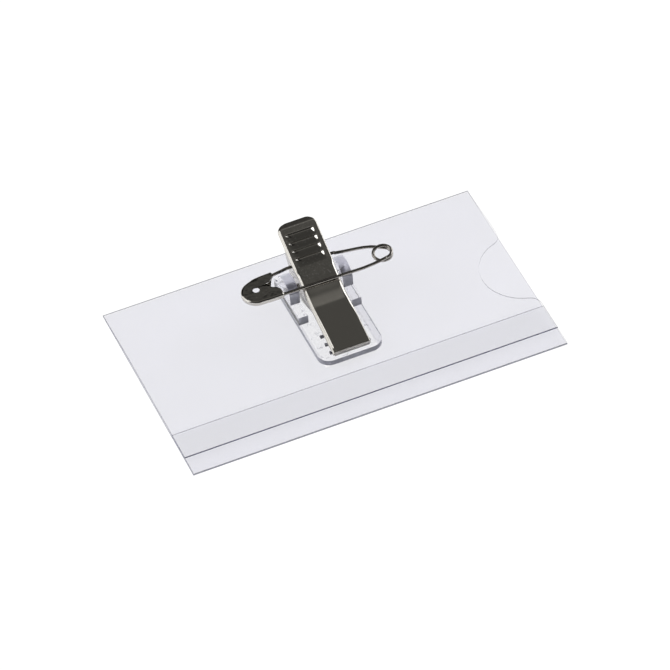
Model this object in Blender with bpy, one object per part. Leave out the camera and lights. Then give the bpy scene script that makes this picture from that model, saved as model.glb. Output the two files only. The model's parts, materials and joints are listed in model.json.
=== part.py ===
"""Clear name-badge sleeve with a sprung clip and a swivelling safety pin on its back.

The badge lies face down. Z = 0 is the outer face of the front panel, +Z points out of the
back, +X runs along the sleeve and +Y points to its top edge. The origin is the middle of
the front panel. Lengths below are millimetres, and the meshes are made in metres.
"""

import math

import bmesh
import bpy
from mathutils import Matrix, Vector

MM = 0.001

# Sleeve: one sheet, folded at the top edge and at the bottom edge.
SLEEVE_LENGTH = 90.0
SLEEVE_HEIGHT = 55.0
SHEET = 0.25
POCKET_GAP = 0.35
FLAP_HEIGHT = 13.0
SEAM_LAP = 7.9
NOTCH_RADIUS = 10.1
NOTCH_CENTRE = (1.1 + SLEEVE_LENGTH / 2, -1.4)
NOTCH_LIP_RADIUS = 3.0

# Clip base, moulded: a plate, two rails with rounded ears, and three grip ridges.
CLIP_X = 0.4
PAD_THICKNESS = 0.2
PAD_MARGIN = 1.2
BOND_GAP = 0.05
BASE_HALF_WIDTH = 7.7
BASE_FRONT = -11.1
BASE_BACK = 17.2
PLATE_THICKNESS = 1.4
PLATE_CORNER = 3.0
RAIL_WIDTH = 2.4
RAIL_HEIGHT = 2.25
RAIL_FRONT = 2.35
RAIL_INSET = 0.05
RAIL_REAR_INSET = 0.4
RAIL_ROOT = 0.6
EAR_FRONT = 6.85
EAR_CENTRE = (10.4, 5.5)
EAR_RADIUS = 4.3
RIDGE_FRONTS = (-3.7, -6.45, -9.2)
RIDGE_HALF_LENGTH = 4.9
RIDGE_SIZE = (0.8, 0.55)
RIDGE_ROOT = 0.3

# Lever: jaw, neck and thumb tab, pressed from one strip.
AXLE = (10.6, 6.2)
AXLE_RADIUS = 0.75
AXLE_HALF_LENGTH = 6.9
LEVER_TIP = (-10.2, 4.05)
LEVER_FOLD = (2.93, 7.6)
LEVER_END = (21.0, 16.26)
FOLD_RADIUS = 12.0
STRIP_THICKNESS = 0.4
STRIP_HALF_WIDTH = 4.55
TAB_CORNER = 2.0
TAB_EXTRA_HALF_WIDTH = 0.1
JAW_BEND = (1.05, 0.85)
TAB_BEND = (0.6, 0.5)
FLANGE_DEPTH = 0.8
FLANGE_DEPTH_AT_AXLE = 6.0
FLANGE_DEPTH_AT_TIP = 1.15
HOLE_CLEARANCE = 0.1
ARM_CLEARANCE = 0.13

# Torsion spring round the axle.
SPRING_WIRE = 0.5
SPRING_RADIUS = 1.35
SPRING_TURNS = 4
SPRING_PITCH = 0.7
SPRING_FOOT = 16.3
SPRING_LEG_ANGLE = 53.5
SPRING_LEG = 5.3

# Safety pin: the fixed arm turns in the lever's flanges.
WIRE = 0.74
PIN_AXIS = (13.65, 9.8)
ARM_LEFT = ((-12.9, 13.18, 9.5), (-9.0, 13.38, 9.5), (-5.2, 13.64, 9.78), (-4.6, 13.65, 9.8))
ARM_RIGHT = ((5.4, 13.65, 9.8), (6.6, 13.38, 9.8), (8.6, 12.95, 9.8), (10.3, 12.65, 9.8))
ARM_BOW = ((12.4, 12.25, 9.8), (14.0, 11.55, 9.8), (15.1, 10.97, 9.8))
COIL_CENTRE = (16.1, 8.6)
COIL_RADIUS = 2.1
COIL_PITCH = 0.78
COIL_TURNS = 1.5
COIL_TILT = 0.2
NEEDLE_BOW = ((14.1, 6.12, 10.12), (12.1, 5.9, 10.1), (9.6, 5.83, 10.06), (4.8, 6.04, 9.97))
NEEDLE_TIP = (-14.6, 6.74, 9.58)
NEEDLE_TAPER = 5.5
CAP_SHEET = 0.22
CAP_FLOOR = 8.87
CAP_SKEW = 0.05
CAP_RIGHT = -8.9
CAP_HEAD = (-13.95, 9.6, 3.45)
CAP_ARM = (13.38, 9.5)
CAP_NEEDLE = (6.6, 9.59)
HOOD_LIP = (7.9, 10.6)
FLAP_EDGE = 10.5
CAP_HOLE = (-14.0, 10.3, 0.85)
SIDES = 12

SLEEVE_TOP = 3 * SHEET + POCKET_GAP
BASE_BOTTOM = SLEEVE_TOP + PAD_THICKNESS + 2 * BOND_GAP
PLATE_TOP = BASE_BOTTOM + PLATE_THICKNESS
RAIL_TOP = PLATE_TOP + RAIL_HEIGHT
COIL_FRONT = COIL_CENTRE[1] - COIL_RADIUS
COIL_RISE = COIL_PITCH * COIL_TURNS - 2 * COIL_RADIUS * COIL_TILT
NEEDLE_ROOT = (COIL_CENTRE[0], COIL_FRONT, PIN_AXIS[1] + COIL_RISE)


def clear_scene():
    for old in list(bpy.data.objects):
        bpy.data.objects.remove(old, do_unlink=True)


def material(name, colour, roughness, metallic=0.0, alpha=1.0):
    made = bpy.data.materials.new(name)
    made.use_nodes = True
    shader = made.node_tree.nodes["Principled BSDF"]
    shader.inputs["Base Color"].default_value = (*colour, 1.0)
    shader.inputs["Roughness"].default_value = roughness
    shader.inputs["Metallic"].default_value = metallic
    shader.inputs["Alpha"].default_value = alpha
    return made


def arc(centre, radius, start, end, steps):
    """Points on an arc, from start to end in degrees."""
    angles = [math.radians(start + (end - start) * i / steps) for i in range(steps + 1)]
    return [(centre[0] + radius * math.cos(a), centre[1] + radius * math.sin(a)) for a in angles]


def rounded_rectangle(low, high, radius, steps=6):
    left, right = low[0] + radius, high[0] - radius
    front, rear = low[1] + radius, high[1] - radius
    outline = []
    for centre, turn in (
        ((right, rear), 0),
        ((left, rear), 90),
        ((left, front), 180),
        ((right, front), 270),
    ):
        outline += arc(centre, radius, turn, turn + 90, steps)
    return outline


def finish(name, mesh_data, look, origin=(0.0, 0.0, 0.0), parent=None, smooth=True):
    """A named object from a bmesh in millimetres, with its origin at the given point."""
    bmesh.ops.recalc_face_normals(mesh_data, faces=mesh_data.faces)
    mesh_data.transform(Matrix.Scale(MM, 4) @ Matrix.Translation(-Vector(origin)))
    mesh = bpy.data.meshes.new(name)
    mesh_data.to_mesh(mesh)
    mesh_data.free()
    made = bpy.data.objects.new(name, mesh)
    bpy.context.collection.objects.link(made)
    place = Vector(origin) * MM
    if parent is not None:
        made.parent = parent
        place -= parent.location
    made.location = place
    if look is not None:
        mesh.materials.append(look)
    if smooth:
        mesh.shade_smooth()
        mesh.set_sharp_from_angle(angle=math.radians(35))
    return made


def prism(outline, axis, low, high):
    """A closed prism: (x, y) points raised along Z, or (y, z) points drawn out along X."""
    data = bmesh.new()
    ends = []
    for level in (low, high):
        if axis == "Z":
            points = [(u, v, level) for u, v in outline]
        else:
            points = [(level, u, v) for u, v in outline]
        ends.append([data.verts.new(p) for p in points])
    data.faces.new(ends[0])
    data.faces.new(reversed(ends[1]))
    count = len(outline)
    for i in range(count):
        j = (i + 1) % count
        data.faces.new((ends[0][i], ends[0][j], ends[1][j], ends[1][i]))
    return data


def helper(name, data):
    """A cutter or an added block, which is left out of renders."""
    made = finish(name, data, None, smooth=False)
    made.hide_render = True
    made.display_type = "WIRE"
    return made


def join(target, other, operation):
    modifier = target.modifiers.new(other.name, "BOOLEAN")
    modifier.operation = operation
    modifier.solver = "EXACT"
    modifier.object = other


def wire(name, points, radius, look, origin=(0.0, 0.0, 0.0), parent=None, radii=None, sides=SIDES):
    """A round wire along a list of points, closed at both ends."""
    data = bmesh.new()
    path = [Vector(p) for p in points]
    rings = []
    side = Vector((0.0, 0.0, 1.0))
    for i, here in enumerate(path):
        ahead = path[min(i + 1, len(path) - 1)] - path[max(i - 1, 0)]
        ahead.normalize()
        side = (side - ahead * side.dot(ahead)).normalized()
        across = ahead.cross(side)
        size = radius if radii is None else radii[i]
        turns = [2 * math.pi * k / sides for k in range(sides)]
        ring = [here + (side * math.cos(t) + across * math.sin(t)) * size for t in turns]
        rings.append([data.verts.new(p) for p in ring])
    for first, second in zip(rings, rings[1:]):
        for k in range(sides):
            n = (k + 1) % sides
            data.faces.new((first[k], first[n], second[n], second[k]))
    data.faces.new(rings[0])
    data.faces.new(rings[-1])
    return finish(name, data, look, origin, parent)


def empty(name, place, parent=None):
    made = bpy.data.objects.new(name, None)
    made.empty_display_size = 0.004
    bpy.context.collection.objects.link(made)
    made.location = Vector(place) * MM
    if parent is not None:
        made.parent = parent
        made.location -= parent.location
    return made


def sleeve_section():
    """Outer and inner outline of the folded sheet in (y, z); the flap is welded to the back."""
    half = SLEEVE_HEIGHT / 2
    flap_top = SLEEVE_TOP - SHEET
    top_radius = SLEEVE_TOP / 2
    bottom_radius = flap_top / 2
    back_edge = -half + FLAP_HEIGHT - SEAM_LAP
    flap_edge = -half + FLAP_HEIGHT
    outer = arc((half - top_radius, top_radius), top_radius, 90, -90, 8)
    outer += arc((-half + bottom_radius, bottom_radius), bottom_radius, -90, -270, 8)
    outer += [(back_edge, flap_top), (back_edge, SLEEVE_TOP)]
    inner = arc((half - top_radius, top_radius), top_radius - SHEET, 90, -90, 8)
    inner += arc((-half + bottom_radius, bottom_radius), bottom_radius - SHEET, -90, -270, 8)
    inner += [(flap_edge, flap_top - SHEET), (flap_edge, flap_top)]
    return outer, inner


def notch_outline():
    """Thumb notch: a round bite past the sheet's end, with a rounded lip at each side."""
    edge = SLEEVE_LENGTH / 2
    x, y = NOTCH_CENTRE
    lip_x = edge - NOTCH_LIP_RADIUS
    reach = NOTCH_RADIUS + NOTCH_LIP_RADIUS
    rise = math.sqrt(reach**2 - (x - lip_x) ** 2)
    turn = math.degrees(math.atan2(rise, lip_x - x))
    upper = arc((lip_x, y + rise), NOTCH_LIP_RADIUS, 0, turn - 180, 6)
    bite = arc((x, y), NOTCH_RADIUS, turn, 360 - turn, 20)
    lower = arc((lip_x, y - rise), NOTCH_LIP_RADIUS, 180 - turn, 0, 6)
    beyond = edge + 2.0
    return upper + bite[1:-1] + lower + [(beyond, y - rise), (beyond, y + rise)]


def build_sleeve(look):
    outer, inner = sleeve_section()
    data = bmesh.new()
    loops = []
    for outline in (outer, inner):
        pair = []
        for x in (-SLEEVE_LENGTH / 2, SLEEVE_LENGTH / 2):
            pair.append([data.verts.new((x, y, z)) for y, z in outline])
        loops.append(pair)
        count = len(outline)
        for i in range(count):
            j = (i + 1) % count
            data.faces.new((pair[0][i], pair[0][j], pair[1][j], pair[1][i]))
    for end in (0, 1):
        rim = set(loops[0][end]) | set(loops[1][end])
        edges = [e for e in data.edges if e.verts[0] in rim and e.verts[1] in rim]
        bmesh.ops.triangle_fill(data, edges=edges, use_beauty=True, use_dissolve=False)
    sleeve = finish("sleeve", data, look, smooth=False)
    middle = SHEET + POCKET_GAP / 2
    cutter = helper("thumb_notch_cutter", prism(notch_outline(), "Z", middle, SLEEVE_TOP + 1.0))
    join(sleeve, cutter, "DIFFERENCE")


def build_pad(look):
    low = (CLIP_X - BASE_HALF_WIDTH + PAD_MARGIN, BASE_FRONT + PAD_MARGIN)
    high = (CLIP_X + BASE_HALF_WIDTH - PAD_MARGIN, BASE_BACK - PAD_MARGIN)
    bottom = SLEEVE_TOP + BOND_GAP
    outline = rounded_rectangle(low, high, PLATE_CORNER - 1.0)
    data = prism(outline, "Z", bottom, bottom + PAD_THICKNESS)
    finish("adhesive_pad", data, look)


def rail_outline():
    """Side view of a rail and its ear in (y, z), standing in the plate."""
    foot = PLATE_TOP - RAIL_ROOT
    y, z = EAR_CENTRE
    start = math.degrees(math.acos((EAR_FRONT - y) / EAR_RADIUS))
    back = y + EAR_RADIUS * 0.93
    end = math.degrees(math.acos((back - y) / EAR_RADIUS))
    dome = arc((y, z), EAR_RADIUS, start, end, 16)
    front = [(RAIL_FRONT, foot), (RAIL_FRONT, RAIL_TOP), (EAR_FRONT, RAIL_TOP)]
    rear_end = BASE_BACK - RAIL_REAR_INSET
    rear = [(back, RAIL_TOP), (rear_end, RAIL_TOP), (rear_end, foot)]
    return front + dome + rear


def build_base(look):
    low = (CLIP_X - BASE_HALF_WIDTH, BASE_FRONT)
    high = (CLIP_X + BASE_HALF_WIDTH, BASE_BACK)
    plate = prism(rounded_rectangle(low, high, PLATE_CORNER), "Z", BASE_BOTTOM, PLATE_TOP)
    base = finish("clip_base", plate, look)
    for side, name in ((-1, "left"), (1, "right")):
        outer = CLIP_X + side * (BASE_HALF_WIDTH - RAIL_INSET)
        inner = CLIP_X + side * (BASE_HALF_WIDTH - RAIL_WIDTH)
        block = prism(rail_outline(), "X", min(inner, outer), max(inner, outer))
        join(base, helper(f"{name}_rail_block", block), "UNION")
    depth, height = RIDGE_SIZE
    for number, front in enumerate(RIDGE_FRONTS):
        outline = [
            (front, PLATE_TOP - RIDGE_ROOT),
            (front + depth, PLATE_TOP - RIDGE_ROOT),
            (front + depth, PLATE_TOP + height * 0.6),
            (front + depth * 0.4, PLATE_TOP + height),
            (front, PLATE_TOP + height),
        ]
        block = prism(outline, "X", CLIP_X - RIDGE_HALF_LENGTH, CLIP_X + RIDGE_HALF_LENGTH)
        join(base, helper(f"ridge_block_{number + 1}", block), "UNION")
    bore = AXLE_HALF_LENGTH + 0.15
    hole = prism(arc(AXLE, AXLE_RADIUS + 0.05, 0, 345, 23), "X", CLIP_X - bore, CLIP_X + bore)
    join(base, helper("axle_bore_cutter", hole), "DIFFERENCE")


def build_axle(look):
    ends = (CLIP_X - AXLE_HALF_LENGTH, CLIP_X + AXLE_HALF_LENGTH)
    data = prism(arc(AXLE, AXLE_RADIUS, 0, 345, 23), "X", *ends)
    finish("axle_pin", data, look, (CLIP_X, *AXLE))


def lever_path():
    """The strip's top line as a function: distance from the tip to (y, z, slope)."""
    tip, fold, end = (Vector(p) for p in (LEVER_TIP, LEVER_FOLD, LEVER_END))
    jaw_angle = math.atan2(*reversed(fold - tip))
    tab_angle = math.atan2(*reversed(end - fold))
    turn = tab_angle - jaw_angle
    setback = FOLD_RADIUS * math.tan(turn / 2)
    jaw_length = (fold - tip).length - setback
    bend_length = FOLD_RADIUS * turn
    total = jaw_length + bend_length + (end - fold).length - setback
    bend_start = tip + (fold - tip).normalized() * jaw_length
    up = Vector((-math.sin(jaw_angle), math.cos(jaw_angle)))
    centre = bend_start + up * FOLD_RADIUS

    def at(s):
        if s <= jaw_length:
            point = tip + (fold - tip).normalized() * s
            return point, jaw_angle
        if s < jaw_length + bend_length:
            slope = jaw_angle + (s - jaw_length) / FOLD_RADIUS
            return centre + FOLD_RADIUS * Vector((math.sin(slope), -math.cos(slope))), slope
        rest = s - jaw_length - bend_length + setback
        return fold + (end - fold).normalized() * rest, tab_angle

    return at, total


def blend(value, low, high):
    """0 below low, 1 above high, and smooth between them."""
    t = min(max((value - low) / (high - low), 0.0), 1.0)
    return t * t * (3 - 2 * t)


def flange_drop(s, total):
    """Depth of the side flange below the strip's top: shallow, deep at the axle, shallow."""
    from_end = total - s
    before_axle = blend(s, 11.0, 18.5)
    after_axle = 0.42 * blend(from_end, 4.8, 8.2) + 0.58 * blend(from_end, 8.0, 10.5)
    at_tip = 1 - blend(s, 0.4, 0.8)
    deeper = (FLANGE_DEPTH_AT_AXLE - FLANGE_DEPTH) * before_axle * after_axle
    return FLANGE_DEPTH + (FLANGE_DEPTH_AT_TIP - FLANGE_DEPTH) * at_tip + deeper


def half_width(from_end, half, corner):
    """Half width of the strip, rounded off at the tab's corners."""
    if from_end >= corner:
        return half
    return half - corner + math.sqrt(max(corner**2 - (corner - from_end) ** 2, 0.0))


def lever_ring(s, total, at, skin):
    """One cross-section, outside at skin 0 and inside at skin STRIP_THICKNESS."""
    shown = min(max(s, skin), total - skin)
    (y, z), slope = at(shown)
    on_tab = blend(s, 16.5, 20.5)
    roll = JAW_BEND[0] + (TAB_BEND[0] - JAW_BEND[0]) * on_tab
    depth = JAW_BEND[1] + (TAB_BEND[1] - JAW_BEND[1]) * on_tab
    half = STRIP_HALF_WIDTH + TAB_EXTRA_HALF_WIDTH * on_tab
    outer = half_width(total - skin - shown, half - skin, TAB_CORNER - skin)
    flat = outer + skin - roll
    up = Vector((-math.sin(slope), math.cos(slope)))
    profile = [(0.0, -skin)]
    steps = 4
    for k in range(steps + 1):
        turn = math.pi / 2 * k / steps
        across = flat + (outer - flat) * math.sin(turn)
        down = skin + (depth - skin) * (1 - math.cos(turn))
        profile.append((across, -down))
    profile.append((outer, -flange_drop(s, total)))
    mirrored = [(-a, b) for a, b in reversed(profile[1:])]
    ring = []
    for across, lift in mirrored + profile:
        point = Vector((y, z)) + up * lift
        ring.append((CLIP_X + across, point.x, point.y))
    return ring


def build_lever(look, parent):
    at, total = lever_path()
    stations = [total * i / 30 for i in range(27)]
    stations = [s for s in stations if s <= total - TAB_CORNER]
    stations += [total - TAB_CORNER * share for share in (0.95, 0.6, 0.3, 0.1, 0.0)]
    data = bmesh.new()
    skins = []
    for skin in (0.0, STRIP_THICKNESS):
        rings = [lever_ring(s, total, at, skin) for s in stations]
        skins.append([[data.verts.new(p) for p in ring] for ring in rings])
    for grid in skins:
        for first, second in zip(grid, grid[1:]):
            for k in range(len(first) - 1):
                data.faces.new((first[k], first[k + 1], second[k + 1], second[k]))
        for ring in (grid[0], grid[-1]):
            data.faces.new(ring)
    outer, inner = skins
    for side in (0, -1):
        for i in range(len(stations) - 1):
            corners = (outer[i][side], outer[i + 1][side], inner[i + 1][side], inner[i][side])
            data.faces.new(corners)
    for end in (0, -1):
        data.faces.new((outer[end][0], outer[end][-1], inner[end][-1], inner[end][0]))
    lever = finish("clip_lever", data, look, (CLIP_X, *AXLE), parent)
    reach = STRIP_HALF_WIDTH + 1.0
    for name, centre, radius in (
        ("axle", AXLE, AXLE_RADIUS + HOLE_CLEARANCE),
        ("pin_arm", PIN_AXIS, WIRE / 2 + ARM_CLEARANCE),
    ):
        hole = prism(arc(centre, radius, 0, 345, 23), "X", CLIP_X - reach, CLIP_X + reach)
        join(lever, helper(f"{name}_hole_cutter", hole), "DIFFERENCE")


def build_spring(look):
    """Lower leg on the plate, four turns round the axle, upper leg under the tab."""
    y, z = AXLE
    left = CLIP_X - SPRING_TURNS * SPRING_PITCH / 2
    leg_angle = math.radians(SPRING_LEG_ANGLE)
    start = -math.pi / 2
    end = start - 2 * math.pi * SPRING_TURNS + (leg_angle + math.pi)
    steps = 12 * SPRING_TURNS
    points = [(left, SPRING_FOOT, PLATE_TOP + 0.4), (left, y + 2.0, z - SPRING_RADIUS - 0.35)]
    for i in range(steps + 1):
        turn = start + (end - start) * i / steps
        x = left + SPRING_TURNS * SPRING_PITCH * i / steps
        points.append((x, y + SPRING_RADIUS * math.cos(turn), z + SPRING_RADIUS * math.sin(turn)))
    x, root_y, root_z = points[-1]
    leg_end = (root_y + SPRING_LEG * math.cos(leg_angle), root_z + SPRING_LEG * math.sin(leg_angle))
    points.append((x, *leg_end))
    wire("clip_spring", points, SPRING_WIRE / 2, look, sides=8)


def build_pin_wire(look, parent):
    """Fixed arm from the cap through the flanges, bowed to the coil, then one and a half turns."""
    points = [*ARM_LEFT, *ARM_RIGHT, *ARM_BOW]
    x, y = COIL_CENTRE
    steps = 30
    for i in range(steps):
        turn = math.radians(90 - 360 * COIL_TURNS * i / steps)
        rise = COIL_PITCH * COIL_TURNS * i / steps
        forward = COIL_RADIUS * (1 - math.sin(turn))
        across = x + COIL_RADIUS * math.cos(turn)
        height = PIN_AXIS[1] + rise - COIL_TILT * forward
        points.append((across, y + COIL_RADIUS - forward, height))
    wire("pin_wire", points, WIRE / 2, look, (CLIP_X, *PIN_AXIS), parent)


def build_needle(look, parent):
    """Needle from the coil to the cap, bowed a little near the coil, with a drawn-out point."""
    tip = Vector(NEEDLE_TIP)
    bow_end = Vector(NEEDLE_BOW[-1])
    along = (tip - bow_end).normalized()
    points = [Vector(NEEDLE_ROOT), *(Vector(p) for p in NEEDLE_BOW)]
    radii = [WIRE / 2] * len(points)
    for share in (0.0, 0.5, 0.85, 1.0):
        points.append(tip - along * NEEDLE_TAPER * (1 - share))
        radii.append(WIRE / 2 * (1 - 0.92 * share))
    wire("pin_needle", points, WIRE / 2, look, NEEDLE_ROOT, parent, radii)


def cap_section():
    """Rear flap, curl round the arm, floor, curl round the needle and hood, in (y, z)."""
    t = CAP_SHEET
    arm_y, arm_z = CAP_ARM
    needle_y, needle_z = CAP_NEEDLE
    arm_curl = arm_z - CAP_FLOOR
    needle_curl = needle_z - CAP_FLOOR
    lip_y, lip_z = HOOD_LIP
    outside = [(FLAP_EDGE, arm_z + arm_curl)]
    outside += arc((arm_y, arm_z), arm_curl, 90, -90, 8)
    outside += arc((needle_y, needle_z), needle_curl, 270, 105, 8)
    outside += [(lip_y, lip_z + t)]
    inside = [(lip_y, lip_z)]
    inside += arc((needle_y, needle_z), needle_curl - t, 105, 270, 8)
    inside += arc((arm_y, arm_z), arm_curl - t, -90, 90, 8)
    inside += [(FLAP_EDGE, arm_z + arm_curl - t)]
    return outside + inside


def cap_plan():
    """Plan outline of the cap: a round head at the left and a straight mouth at the right."""
    x, y, radius = CAP_HEAD
    head = arc((x, y), radius, 82, 270, 18)
    front = [(x + 1.4, y - radius - 0.4), (CAP_RIGHT + 0.1, y - radius - 0.4)]
    mouth = [(CAP_RIGHT + 0.1, y - 2.2), (CAP_RIGHT - 0.3, y - 0.6)]
    rear = [(CAP_RIGHT, y + 1.6), (CAP_RIGHT, y + radius + 1.3), (x + 1.2, y + radius + 1.0)]
    return head + front + mouth + rear


def build_cap(look, parent):
    section = prism(cap_section(), "X", CAP_HEAD[0] - 4.0, CAP_RIGHT + 0.5)
    for vertex in section.verts:
        share = (vertex.co.y - CAP_NEEDLE[0]) / (CAP_ARM[0] - CAP_NEEDLE[0])
        vertex.co.y += CAP_SKEW * share * (vertex.co.x - CAP_RIGHT)
    cap = finish("pin_cap", section, look, (CLIP_X, *PIN_AXIS), parent)
    plan = helper("cap_plan_block", prism(cap_plan(), "Z", CAP_FLOOR - 1.0, CAP_FLOOR + 4.0))
    join(cap, plan, "INTERSECT")
    above = CAP_FLOOR + 0.8
    lip = HOOD_LIP[0]
    hood_corner = [
        (CAP_RIGHT + 1.0, lip + 0.5),
        (CAP_RIGHT - 1.4, lip + 0.5),
        (CAP_RIGHT - 1.1, lip - 0.1),
        (CAP_RIGHT - 0.3, lip - 0.8),
        (CAP_RIGHT + 1.0, lip - 1.0),
    ]
    flap_corner = [
        (CAP_RIGHT - 2.0, FLAP_EDGE - 0.5),
        (CAP_RIGHT + 1.0, FLAP_EDGE - 0.5),
        (CAP_RIGHT + 1.0, FLAP_EDGE + 2.6),
        (CAP_RIGHT - 0.5, FLAP_EDGE + 2.2),
        (CAP_RIGHT - 0.9, FLAP_EDGE + 0.9),
        (CAP_RIGHT - 1.4, FLAP_EDGE + 0.3),
    ]
    for name, outline in (("hood", hood_corner), ("flap", flap_corner)):
        cutter = helper(f"{name}_corner_cutter", prism(outline, "Z", above, above + 3.0))
        join(cap, cutter, "DIFFERENCE")
    x, y, radius = CAP_HOLE
    hole = prism(arc((x, y), radius, 0, 330, 11), "Z", CAP_FLOOR - 1.0, CAP_FLOOR + 4.0)
    join(cap, helper("cap_hole_cutter", hole), "DIFFERENCE")


def main():
    clear_scene()
    vinyl = material("clear_vinyl", (0.86, 0.86, 0.90), 0.12, alpha=0.35)
    gel = material("clear_adhesive", (0.85, 0.86, 0.88), 0.35, alpha=0.4)
    moulded = material("clear_moulding", (0.80, 0.81, 0.86), 0.15, alpha=0.5)
    nickel = material("nickel_plate", (0.36, 0.35, 0.33), 0.18, 1.0)
    steel = material("steel_wire", (0.32, 0.31, 0.29), 0.25, 1.0)
    build_sleeve(vinyl)
    build_pad(gel)
    build_base(moulded)
    build_axle(steel)
    build_spring(steel)
    lever_hinge = empty("lever_hinge", (CLIP_X, *AXLE))
    build_lever(nickel, lever_hinge)
    pin_hinge = empty("pin_hinge", (CLIP_X, *PIN_AXIS))
    build_pin_wire(steel, pin_hinge)
    build_cap(nickel, pin_hinge)
    needle_hinge = empty("needle_hinge", NEEDLE_ROOT)
    build_needle(steel, needle_hinge)


main()
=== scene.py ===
"""Looks of the clear name-badge sleeve, its sprung clip and its safety pin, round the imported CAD.

Lengths are millimetres and meshes are made in metres, in the CAD's frame: Z = 0 is the
outer face of the front panel, +X runs to the thumb notch and +Y to the top edge.
"""

import itertools
import json
import math

import bmesh
import bpy
from mathutils import Matrix, Vector


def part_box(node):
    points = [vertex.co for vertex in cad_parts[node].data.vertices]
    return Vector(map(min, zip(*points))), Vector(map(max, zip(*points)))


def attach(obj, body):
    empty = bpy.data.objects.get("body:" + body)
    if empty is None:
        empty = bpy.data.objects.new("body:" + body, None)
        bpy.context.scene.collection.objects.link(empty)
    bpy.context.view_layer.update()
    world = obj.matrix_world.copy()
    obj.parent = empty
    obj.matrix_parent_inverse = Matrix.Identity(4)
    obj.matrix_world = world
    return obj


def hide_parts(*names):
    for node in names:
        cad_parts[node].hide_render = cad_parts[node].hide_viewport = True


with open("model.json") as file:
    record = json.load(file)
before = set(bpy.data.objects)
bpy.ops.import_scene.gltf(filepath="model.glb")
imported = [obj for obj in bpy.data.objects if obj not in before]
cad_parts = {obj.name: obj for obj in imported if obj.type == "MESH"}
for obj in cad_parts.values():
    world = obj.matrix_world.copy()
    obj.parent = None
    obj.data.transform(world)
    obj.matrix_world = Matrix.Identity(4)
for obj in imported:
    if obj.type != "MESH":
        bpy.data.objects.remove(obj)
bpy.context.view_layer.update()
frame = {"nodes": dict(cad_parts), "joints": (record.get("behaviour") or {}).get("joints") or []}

MM = 0.001
HINGES = {joint["name"]: Vector(joint["pos_m"]) / MM for joint in frame["joints"]}
BOXES = {name: tuple(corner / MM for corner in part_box(name)) for name in frame["nodes"]}
AXLE = HINGES["lever_hinge"]
PIN_AXIS = HINGES["pin_swivel"]
NEEDLE_ROOT = HINGES["needle_release"]
CLIP_X = AXLE.x

# Camera, at the photograph's angle.
AZIMUTH = math.radians(-19.298)
ELEVATION = math.radians(45.294)
ROLL = math.radians(-5.169)
CAMERA_DISTANCE = 1276.3
CAMERA_OFFSET = (0.188, -0.961)
SENSOR = 36.0
LENS = 306.0
TABLE_HALF = 900.0
TABLE_TOP = -0.3

# Greys of the room that the object reflects, as (Y of the direction, grey).
ROOM_GREYS = (
    (-1.0, 0.011),
    (-0.88, 0.015),
    (-0.76, 0.055),
    (-0.6, 0.058),
    (-0.14, 0.066),
    (-0.05, 0.178),
    (0.08, 0.222),
    (0.16, 0.094),
    (0.26, 0.094),
    (0.34, 0.052),
    (0.50, 0.052),
    (0.62, 0.082),
    (0.68, 0.076),
    (0.75, 0.009),
    (1.0, 0.009),
)

# Sleeve sheet.
SHEET = 0.25
NOTCH_RADIUS = 10.1
NOTCH_CENTRE = (46.1, -1.4)
NOTCH_LIP = 3.0
NOTCH_ZONE = (-14.0, 10.0)
FLAP_EDGE = -14.5
BACK_EDGE = -22.4
FOLD_DIP = 0.6
# EDGE_LINE is the width of the dark line painted along the sheet's cut edges: painted edge shade.
EDGE_LINE = 0.14
FLAP_GAP = 0.03

# Clip base.
PLATE_THICKNESS = 1.4
PLATE_CORNER = 3.0
RAIL_WIDTH = 2.4
RAIL_HEIGHT = 2.25
RAIL_FRONT = 2.35
RAIL_INSET = 0.05
RAIL_REAR_INSET = 0.4
RAIL_ROOT = 0.6
EAR_FRONT = 6.85
EAR_CENTRE = (10.4, 5.5)
EAR_RADIUS = 4.3
RIDGE_FRONTS = (-3.7, -6.45, -9.2)
RIDGE_HALF_LENGTH = 4.9
RIDGE_SIZE = (0.8, 0.55)
RIDGE_ROOT = 0.3
AXLE_RADIUS = 0.75
BORE_CLEARANCE = 0.05
# Looks that paint shade on the base's sides and ridges, and light on its ear tops.
SHADE_PAINTED_SIDES, SHADE_PAINTED_RIDGES, LIGHT_PAINTED_EARS = 1, 2, 3  # places in the base's list of looks

# Lever strip, in (y, z) along its top. Zones are distances along it from the tip.
LEVER_TIP = (-10.2, 4.05)
LEVER_FOLD = (2.93, 7.6)
LEVER_END = (21.0, 16.26)
FOLD_RADIUS = 20.0
STRIP = 0.4
STRIP_HALF_WIDTH = 4.55
TAB_CORNER = 2.0
TAB_EXTRA_HALF_WIDTH = 0.1
TAB_STARTS = (20.0, 22.5)
JAW_ENDS = (7.0, 13.5)
FOLD_STARTS = (12.0, 14.0)
FOLD_ENDS = (15.0, 18.0)
FLANGE_DEEPENS = (11.0, 18.5)
FLANGE_DEPTH = 0.8
FLANGE_DEPTH_AT_AXLE = 6.0
FLANGE_DEPTH_AT_TIP = 1.15
HOLE_CLEARANCE = 0.1
ARM_CLEARANCE = 0.13
RIBS_FROM_END = (3.1, 5.1, 7.1, 9.1)
RIB_HALF_LENGTH = 3.3
RIB_HEIGHT = 0.4
RIB_FAR = 0.35
RIB_NEAR = 1.9
BEND_STEPS = 10
FOLD_CROWN = 0.04
END_DIP = 0.3
END_DIP_LENGTH = 1.2
LIP_DEPTH = 1.12
LIP_RADIUS = 0.7

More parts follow.
